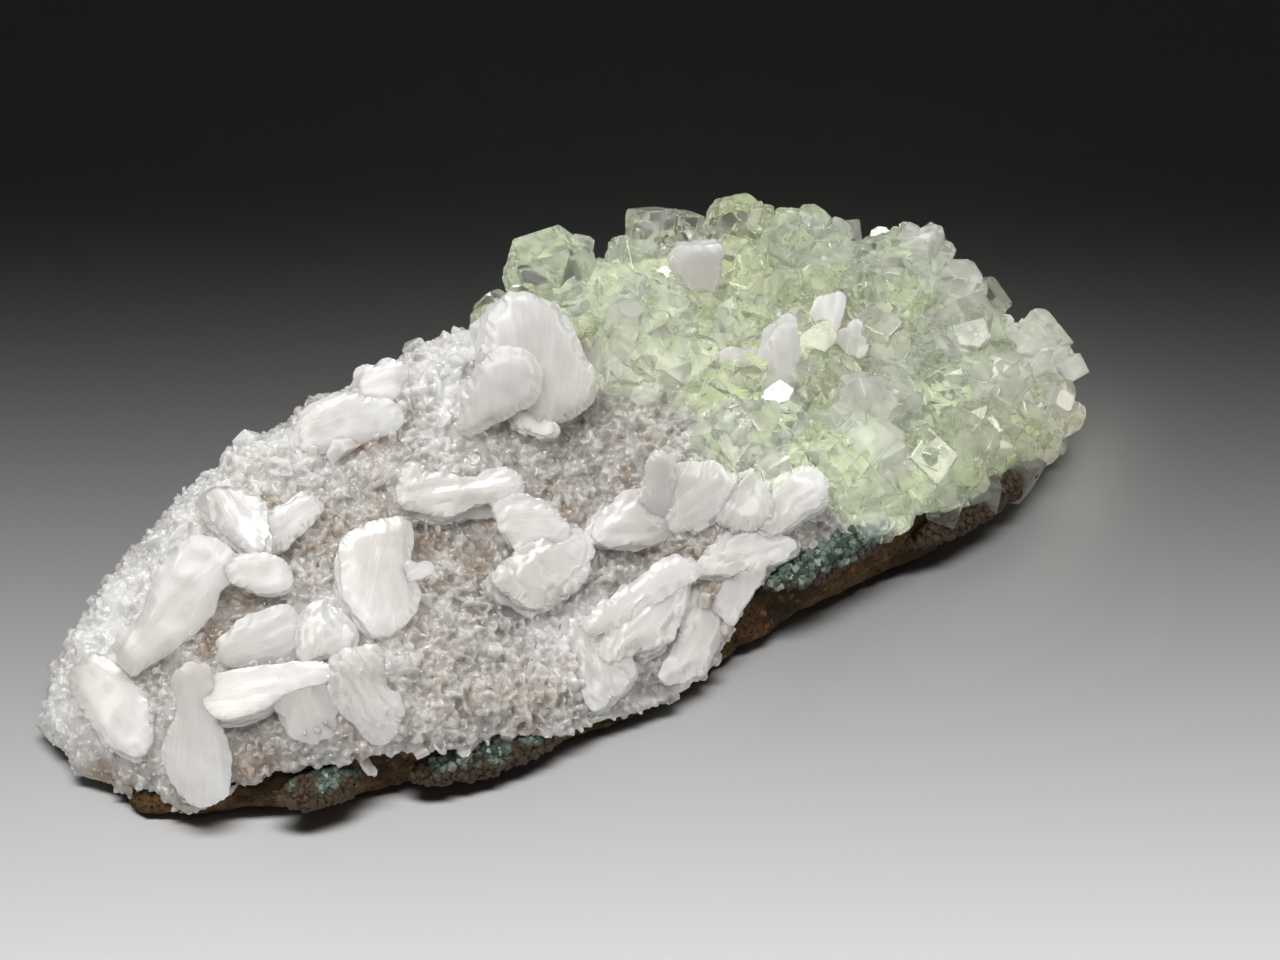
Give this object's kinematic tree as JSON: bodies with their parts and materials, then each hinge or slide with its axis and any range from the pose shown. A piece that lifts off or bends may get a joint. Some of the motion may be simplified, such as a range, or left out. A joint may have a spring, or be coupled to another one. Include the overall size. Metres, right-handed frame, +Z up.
{
  "type": "apophyllite cluster",
  "caption": "Hand specimen: green apophyllite crystals and white stilbite sheaves on a druse-covered plate of basalt, resting on a flat patch of its underside.",
  "frame": {"origin": "centre of the footprint, on the surface that the specimen rests on", "axes": "+X along the plate towards the apophyllite end, +Y towards the high back edge, +Z up"},
  "size_m": [0.1724, 0.0728, 0.0475],
  "materials": {
    "basalt": "rough weathered basalt, dark brown to rust with small pits",
    "celadonite": "crumbly matt blue-green rind",
    "druse": "fine sparkling crust of colourless to grey-beige crystals",
    "stilbite": "satin to pearly white, slightly translucent, finely striated along the blades",
    "apophyllite": "glassy, pale mint to yellow-green, clear to frosted faces"
  },
  "bodies": {
    "root": {"apophyllite_back_east": "apophyllite", "apophyllite_back_middle": "apophyllite", "apophyllite_back_west": "apophyllite", "apophyllite_clear_pyramid": "apophyllite", "apophyllite_clear_west": "apophyllite", "apophyllite_east_cap": "apophyllite", "apophyllite_east_low": "apophyllite", "apophyllite_east_slope": "apophyllite", "apophyllite_end_cube": "apophyllite", "apophyllite_faceted_row": "apophyllite", "apophyllite_front_green": "apophyllite", "apophyllite_front_point": "apophyllite", "apophyllite_frosted_pair": "apophyllite", "apophyllite_frosted_pyramid": "apophyllite", "apophyllite_green_bed": "apophyllite", "apophyllite_green_hollow": "apophyllite", "apophyllite_green_mid": "apophyllite", "apophyllite_grey_block": "apophyllite", "apophyllite_middle_green": "apophyllite", "apophyllite_mint_point": "apophyllite", "apophyllite_mint_ridge": "apophyllite", "apophyllite_olive_front": "apophyllite", "apophyllite_ridge_block": "apophyllite", "apophyllite_ridge_cube": "apophyllite", "apophyllite_rim_block": "apophyllite", "apophyllite_sharp_block": "apophyllite", "apophyllite_sparkling": "apophyllite", "apophyllite_summit": "apophyllite", "apophyllite_west_block": "apophyllite", "basalt_matrix": "basalt", "celadonite_east": "celadonite", "celadonite_middle": "celadonite", "celadonite_notch": "celadonite", "celadonite_west": "celadonite", "druse_crust": "druse", "stilbite_blade": "stilbite", "stilbite_bowl_leaf": "stilbite", "stilbite_centre_bar": "stilbite", "stilbite_centre_leaf": "stilbite", "stilbite_dome": "stilbite", "stilbite_elbow": "stilbite", "stilbite_frosted_prism": "stilbite", "stilbite_grey_plate": "stilbite", "stilbite_left_cap": "stilbite", "stilbite_left_end_leaf": "stilbite", "stilbite_left_hump": "stilbite", "stilbite_long_leaf": "stilbite", "stilbite_long_leaf_front": "stilbite", "stilbite_mid_fan": "stilbite", "stilbite_mid_shell": "stilbite", "stilbite_needle_bundle": "stilbite", "stilbite_petal": "stilbite", "stilbite_pink_prism": "stilbite", "stilbite_plate_stack": "stilbite", "stilbite_right_fan": "stilbite", "stilbite_small_bow": "stilbite", "stilbite_summit_post": "stilbite", "stilbite_white_block": "stilbite", "stilbite_wings": "stilbite"}
  },
  "joints": []
}
